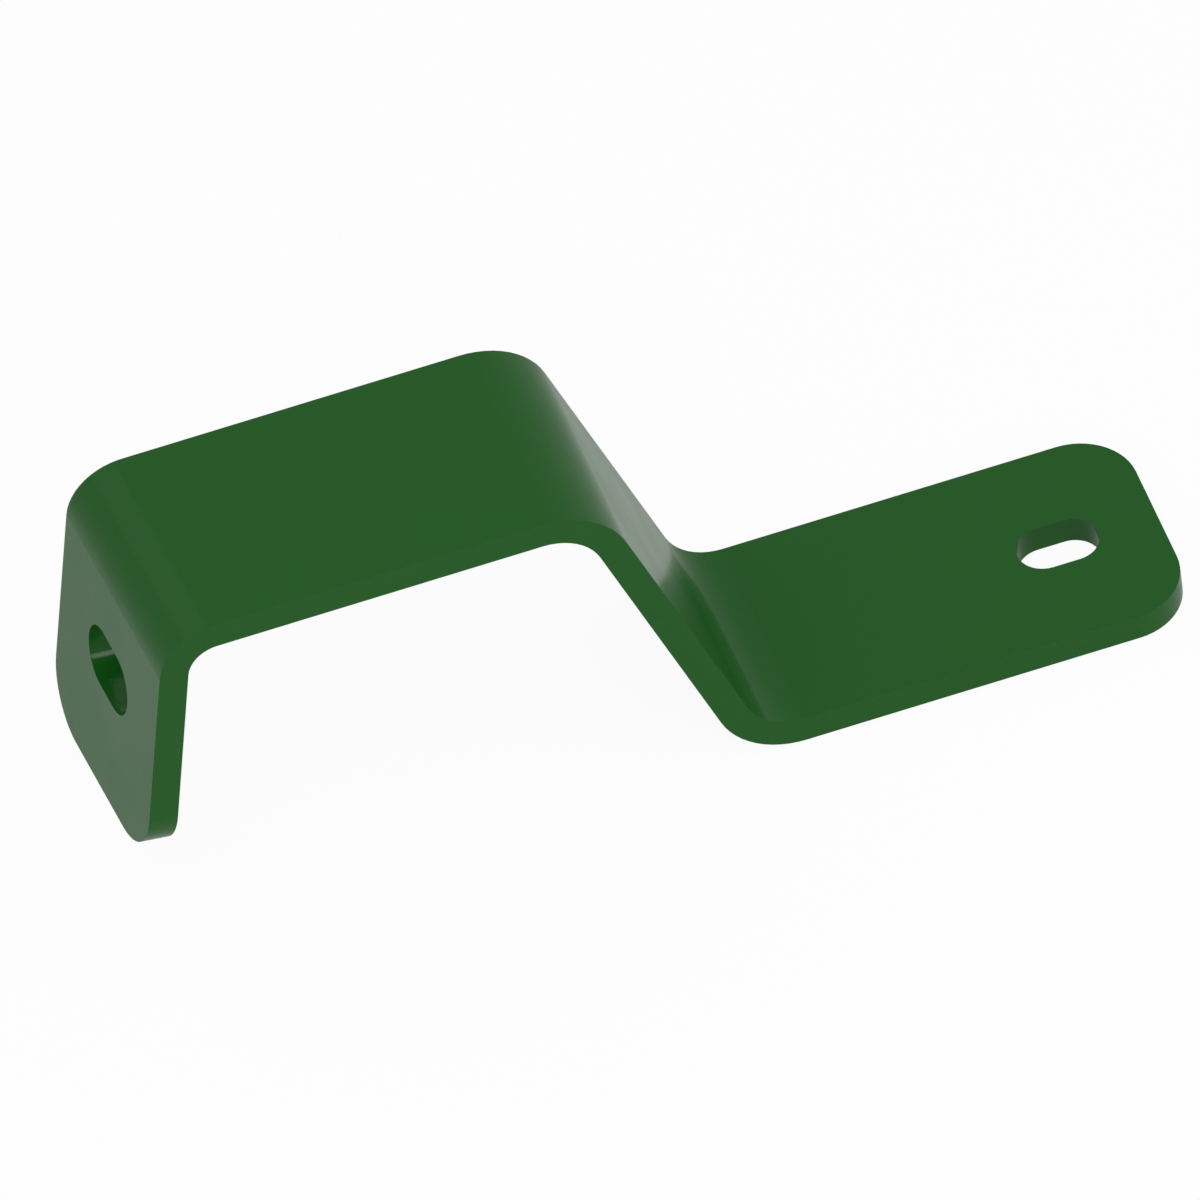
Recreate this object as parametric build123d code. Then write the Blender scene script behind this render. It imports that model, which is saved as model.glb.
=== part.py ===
from build123d import *
import math
import os

# Shield bracket: one length of flat bar, folded three times into a step with a
# down-turned end. From right to left the bar is a level foot with a bolt slot, a
# steep riser, a level top plate and a flange that hangs from the far end of it.
# The crease of the flange runs a little askew across the bar, and the flange
# leans outwards, so that its face meets a leaning shield squarely. Its sides stay
# in line with the sides of the bar.
#
# Millimetres, +Z up, X along the bar. The foot lies on z = 0 and points to +X,
# and the origin is where the axis of its slot meets the underside.

# Flat bar
bar_width = 50.0
bar_thickness = 6.0

# Foot, from its upper crease to the free end
foot_length = 90.2
foot_corner_radius = 12.5
foot_slot_width = 11.2
foot_slot_length = 16.8
foot_slot_setback = 20.6

# Riser, from the upper face of the foot to the upper face of the top plate
rise = 75.5
riser_angle = 70.0

# Top plate, on the centre line, between the sharp corners of its upper face
top_length = 92.5

# Flange, down its outer face from the sharp corner to the free end
flange_length = 61.7
flange_lean = 8.2
flange_skew = 2.7
flange_corner_radius = 12.5
flange_slot_width = 13.75
flange_slot_length = 20.65
flange_slot_setback = 31.3

# Inside radius of each bend
foot_bend_radius = 12.0
riser_bend_radius = 12.0
flange_bend_radius = 6.5


# Sharp corners of the upper face, on the centre line of the bar
foot_crease_x = foot_slot_setback - foot_length
riser_crease_x = foot_crease_x - rise / math.tan(math.radians(riser_angle))
flange_crease_x = riser_crease_x - top_length
top_z = bar_thickness + rise

half_thickness = bar_thickness / 2


def mid_radius(inside_radius):
    """Radius of a bend at the middle of the bar's thickness."""
    return inside_radius + half_thickness


def corner_inset(turn):
    """How far the middle of the bar turns before the sharp corner of its outer face."""
    return half_thickness * math.tan(math.radians(turn) / 2)


def bar_along(path, across, width):
    """Flat bar swept along a path, with its width along the direction given."""
    section = Plane(origin=path @ 0, x_dir=across, z_dir=path % 0)
    return sweep(section * Rectangle(width, bar_thickness), path)


# Step of the bar: half of the top plate, the riser and the foot
riser_inset = corner_inset(riser_angle)
middle_top_z = top_z - half_thickness
joint_x = (flange_crease_x + riser_crease_x) / 2
step_path = FilletPolyline(
    (joint_x, 0, middle_top_z),
    (riser_crease_x - riser_inset, 0, middle_top_z),
    (foot_crease_x - riser_inset, 0, half_thickness),
    (foot_slot_setback, 0, half_thickness),
    radius=(mid_radius(riser_bend_radius), mid_radius(foot_bend_radius)),
)
step = bar_along(step_path, (0, 1, 0), bar_width)

foot_corners = step.edges().filter_by(Axis.Z).group_by(Axis.X)[-1]
step = fillet(foot_corners, foot_corner_radius)

# End of the bar: the rest of the top plate, the skewed bend and the flange
skew = math.radians(flange_skew)
lean = math.radians(flange_lean)
crease_direction = Vector(-math.sin(skew), math.cos(skew), 0)
square_to_crease = Vector(math.cos(skew), math.sin(skew), 0)
down_flange = -square_to_crease * math.sin(lean) - Vector(0, 0, math.cos(lean))
flange_normal = crease_direction.cross(down_flange)

flange_inset = corner_inset(90 - flange_lean)
flange_corner = Vector(flange_crease_x, 0, middle_top_z) + square_to_crease * flange_inset
flange_tip = flange_corner + down_flange * (flange_length - flange_inset)
slot_centre = flange_tip - down_flange * flange_slot_setback
lap = (joint_x - flange_crease_x) * math.cos(skew) + bar_width * math.tan(skew)
end_path = FilletPolyline(
    flange_tip,
    flange_corner,
    flange_corner + square_to_crease * lap,
    radius=mid_radius(flange_bend_radius),
)
end = bar_along(end_path, crease_direction, 2 * bar_width)

# The sides of the flange are trimmed in line with the sides of the bar
trim_span = 2 * (top_length + flange_length + bar_width)
end = end & Pos(flange_crease_x, 0, top_z) * Box(trim_span, bar_width, trim_span)

tip_face = end.faces().sort_by(Axis(flange_corner, down_flange))[-1]
tip_corners = tip_face.edges().sort_by(SortBy.LENGTH)[:2]
end = fillet(tip_corners, flange_corner_radius)

bracket = step + end

# Bolt slots, each cut square through its plate: along the foot, across the flange
foot_slot = Plane.XY * SlotOverall(foot_slot_length, foot_slot_width)
bracket -= extrude(foot_slot, bar_thickness, both=True)

flange_plane = Plane(origin=slot_centre, x_dir=crease_direction, z_dir=flange_normal)
flange_slot = flange_plane * SlotOverall(flange_slot_length, flange_slot_width)
bracket -= extrude(flange_slot, bar_thickness, both=True)

os.makedirs("parts", exist_ok=True)
export_step(bracket, "parts/bracket.step")
print("solids", len(bracket.solids()), "volume", round(bracket.volume, 1))
print("box", bracket.bounding_box())
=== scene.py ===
import math

import bpy
from mathutils import Matrix, Vector


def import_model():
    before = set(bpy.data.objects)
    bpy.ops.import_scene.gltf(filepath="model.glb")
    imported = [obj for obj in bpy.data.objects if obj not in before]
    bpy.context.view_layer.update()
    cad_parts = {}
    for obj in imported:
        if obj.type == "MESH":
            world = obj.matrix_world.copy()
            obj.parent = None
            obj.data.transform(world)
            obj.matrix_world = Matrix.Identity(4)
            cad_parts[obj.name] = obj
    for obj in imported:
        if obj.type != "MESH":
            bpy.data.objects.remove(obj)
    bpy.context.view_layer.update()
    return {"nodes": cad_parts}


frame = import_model()

# Pigment coat of the paint, in linear colour, with a weak and broad gloss of its own
PAINT_GREEN = (0.0056, 0.0895, 0.0062)
PAINT_DEEP_GREEN = (0.0053, 0.0869, 0.0058)
PAINT_ROUGHNESS = (0.38, 0.46)
PAINT_SHINE = 0.06

# Clear coat over it, which gives the sharper reflections
CLEAR_SHARE = 0.228
CLEAR_ROUGHNESS = 0.12

# Relief of the paint: scales of its noise, and depths in metres
PEEL_SCALE = 420.0
PEEL_DEPTH = 0.000025
GRAIN_SCALE = 2600.0
GRAIN_DEPTH = 0.000004

# Slow changes of gloss and tone: scales of their noise, and the values that it mostly keeps between
GLOSS_SCALE = 38.0
TONE_SCALE = 60.0
NOISE_RANGE = (0.3, 0.7)

# Parallel view of the photograph, in metres and degrees
VIEW_WIDTH = 0.23577
VIEW_CENTRE = Vector((-0.10226, -0.03616, 0.06795))
VIEW_AZIMUTH = 13.9
VIEW_ELEVATION = 46.22
VIEW_ROLL = -6.85
CAMERA_DISTANCE = 1.2

# Floor, a hair below the foot. Seen directly it is mostly plain white, and the rest shows the shadow
FLOOR_SIZE = 6.0
FLOOR_DROP = 0.0002
FLOOR_PALENESS = 0.95
FLOOR_PLAIN_WHITE = 0.93

# Strength of the light that the white surroundings throw on the bracket
AMBIENT = 0.49

# Soft lamps stand round the middle of the bracket
LAMP_TARGET = Vector((-0.102, -0.036, 0.04))
LAMP_DISTANCE = 1.75


def principled(name):
    """New material with a Principled shader; returns the material, its nodes, links and shader."""
    material = bpy.data.materials.new(name)
    material.use_nodes = True
    tree = material.node_tree
    return material, tree.nodes, tree.links, tree.nodes["Principled BSDF"]


def noise(nodes, links, place, scale, detail=2.0):
    """Noise texture fixed to the object; a scale of 1000 gives features of about a millimetre."""
    texture = nodes.new("ShaderNodeTexNoise")
    texture.inputs["Scale"].default_value = scale
    texture.inputs["Detail"].default_value = detail
    links.new(place, texture.inputs["Vector"])
    return texture.outputs["Fac"]


def bump(nodes, links, height, depth, under=None):
    """Bump of a height pattern, its full depth in metres, over another bump where one is given."""
    node = nodes.new("ShaderNodeBump")
    node.inputs["Strength"].default_value = 1.0
    node.inputs["Distance"].default_value = depth
    links.new(height, node.inputs["Height"])
    if under:
        links.new(under, node.inputs["Normal"])
    return node.outputs["Normal"]


def paint():
    """Dark green powder coat: smooth, with a soft gloss, a faint orange peel and a fine grain."""
    material, nodes, links, shader = principled("green_paint")
    place = nodes.new("ShaderNodeTexCoord").outputs["Object"]

    # Peel about two millimetres across, and on it the grain of the melted powder
    peel = bump(nodes, links, noise(nodes, links, place, PEEL_SCALE), PEEL_DEPTH)
    grain = bump(nodes, links, noise(nodes, links, place, GRAIN_SCALE), GRAIN_DEPTH, under=peel)
    links.new(grain, shader.inputs["Normal"])
    links.new(grain, shader.inputs["Coat Normal"])

    # Gloss varies over a few centimetres with the thickness of the paint
    gloss = nodes.new("ShaderNodeMapRange")
    gloss.inputs["From Min"].default_value = NOISE_RANGE[0]
    gloss.inputs["From Max"].default_value = NOISE_RANGE[1]
    gloss.inputs["To Min"].default_value = PAINT_ROUGHNESS[0]
    gloss.inputs["To Max"].default_value = PAINT_ROUGHNESS[1]
    links.new(noise(nodes, links, place, GLOSS_SCALE, detail=3.0), gloss.inputs["Value"])
    links.new(gloss.outputs["Result"], shader.inputs["Roughness"])

    # So does its depth of colour, a little
    tone = nodes.new("ShaderNodeMix")
    tone.data_type = "RGBA"
    tone.inputs["A"].default_value = (*PAINT_DEEP_GREEN, 1.0)
    tone.inputs["B"].default_value = (*PAINT_GREEN, 1.0)
    links.new(noise(nodes, links, place, TONE_SCALE, detail=4.0), tone.inputs["Factor"])
    links.new(tone.outputs["Result"], shader.inputs["Base Color"])

    shader.inputs["Specular IOR Level"].default_value = PAINT_SHINE
    shader.inputs["Coat Weight"].default_value = CLEAR_SHARE
    shader.inputs["Coat Roughness"].default_value = CLEAR_ROUGHNESS
    return material


def seen_directly(nodes, links):
    """1 for camera, glossy and transmission rays, 0 for the light that falls on things."""
    path = nodes.new("ShaderNodeLightPath")
    total = path.outputs["Is Camera Ray"]
    for name in ("Is Glossy Ray", "Is Transmission Ray"):
        add = nodes.new("ShaderNodeMath")
        add.operation = "ADD"
        add.use_clamp = True
        links.new(total, add.inputs[0])
        links.new(path.outputs[name], add.inputs[1])
        total = add.outputs[0]
    return total


def floor():
    """Plain white floor that keeps the bracket's shadow."""
    bpy.ops.mesh.primitive_plane_add(size=FLOOR_SIZE, location=(0, 0, -FLOOR_DROP))
    plane = bpy.context.object
    plane.name = "floor"
    material = bpy.data.materials.new("floor")
    material.use_nodes = True
    nodes, links = material.node_tree.nodes, material.node_tree.links
    nodes.clear()
    output = nodes.new("ShaderNodeOutputMaterial")
    lit = nodes.new("ShaderNodeBsdfDiffuse")
    lit.inputs["Color"].default_value = (FLOOR_PALENESS, FLOOR_PALENESS, FLOOR_PALENESS, 1.0)
    white = nodes.new("ShaderNodeEmission")
    share = nodes.new("ShaderNodeMath")
    share.operation = "MULTIPLY"
    share.inputs[1].default_value = FLOOR_PLAIN_WHITE
    mix = nodes.new("ShaderNodeMixShader")
    links.new(seen_directly(nodes, links), share.inputs[0])
    links.new(share.outputs[0], mix.inputs[0])
    links.new(lit.outputs[0], mix.inputs[1])
    links.new(white.outputs[0], mix.inputs[2])
    links.new(mix.outputs[0], output.inputs["Surface"])
    plane.data.materials.append(material)


def world():
    """Surroundings that look plain white and throw a softer light on the bracket."""
    scene_world = bpy.data.worlds.new("studio")
    bpy.context.scene.world = scene_world
    scene_world.use_nodes = True
    nodes, links = scene_world.node_tree.nodes, scene_world.node_tree.links
    ambient = nodes["Background"]
    ambient.inputs["Color"].default_value = (1.0, 1.0, 1.0, 1.0)
    ambient.inputs["Strength"].default_value = AMBIENT
    white = nodes.new("ShaderNodeBackground")
    white.inputs["Color"].default_value = (1.0, 1.0, 1.0, 1.0)
    mix = nodes.new("ShaderNodeMixShader")
    links.new(seen_directly(nodes, links), mix.inputs[0])
    links.new(ambient.outputs[0], mix.inputs[1])
    links.new(white.outputs[0], mix.inputs[2])
    links.new(mix.outputs[0], nodes["World Output"].inputs["Surface"])


def lamp(name, azimuth, elevation, size, level):
    """Square soft lamp facing the bracket, its azimuth counted from +X towards +Y.

    A surface that faces a lamp of level 1 shows its colour as it is written.
    """
    turn, lift = math.radians(azimuth), math.radians(elevation)
    away = Vector((math.cos(turn) * math.cos(lift), math.sin(turn) * math.cos(lift), math.sin(lift)))
    data = bpy.data.lights.new(name, "AREA")
    data.shape = "SQUARE"
    data.size = size
    data.energy = level * (math.pi * LAMP_DISTANCE) ** 2
    light = bpy.data.objects.new(name, data)
    light.location = LAMP_TARGET + away * LAMP_DISTANCE
    light.rotation_euler = away.to_track_quat("Z", "Y").to_euler()
    bpy.context.scene.collection.objects.link(light)


def camera():
    """Parallel camera at the photograph's angle; an azimuth of 0 would look along +Y."""
    azimuth, elevation = math.radians(VIEW_AZIMUTH), math.radians(VIEW_ELEVATION)
    back = Vector(
        (
            -math.sin(azimuth) * math.cos(elevation),
            -math.cos(azimuth) * math.cos(elevation),
            math.sin(elevation),
        )
    )
    data = bpy.data.cameras.new("camera")
    data.type = "ORTHO"
    data.ortho_scale = VIEW_WIDTH
    view = bpy.data.objects.new("camera", data)
    upright = (-back).to_track_quat("-Z", "Y").to_matrix()
    turned = upright @ Matrix.Rotation(math.radians(VIEW_ROLL), 3, "Z")
    view.matrix_world = Matrix.Translation(VIEW_CENTRE + back * CAMERA_DISTANCE) @ turned.to_4x4()
    bpy.context.scene.collection.objects.link(view)
    bpy.context.scene.camera = view


bracket = frame["nodes"]["bracket"]
bracket.data.materials.clear()
bracket.data.materials.append(paint())

floor()
world()

# A large lamp high in front, a small low one that glints in the flange's slot, and a weak one
# behind that shows along the flange's bend
lamp("high", azimuth=262, elevation=60, size=1.6, level=0.48)
lamp("low", azimuth=298, elevation=29, size=0.42, level=0.14)
lamp("back", azimuth=118, elevation=42, size=0.9, level=0.036)

camera()
bpy.context.scene.view_settings.view_transform = "Standard"
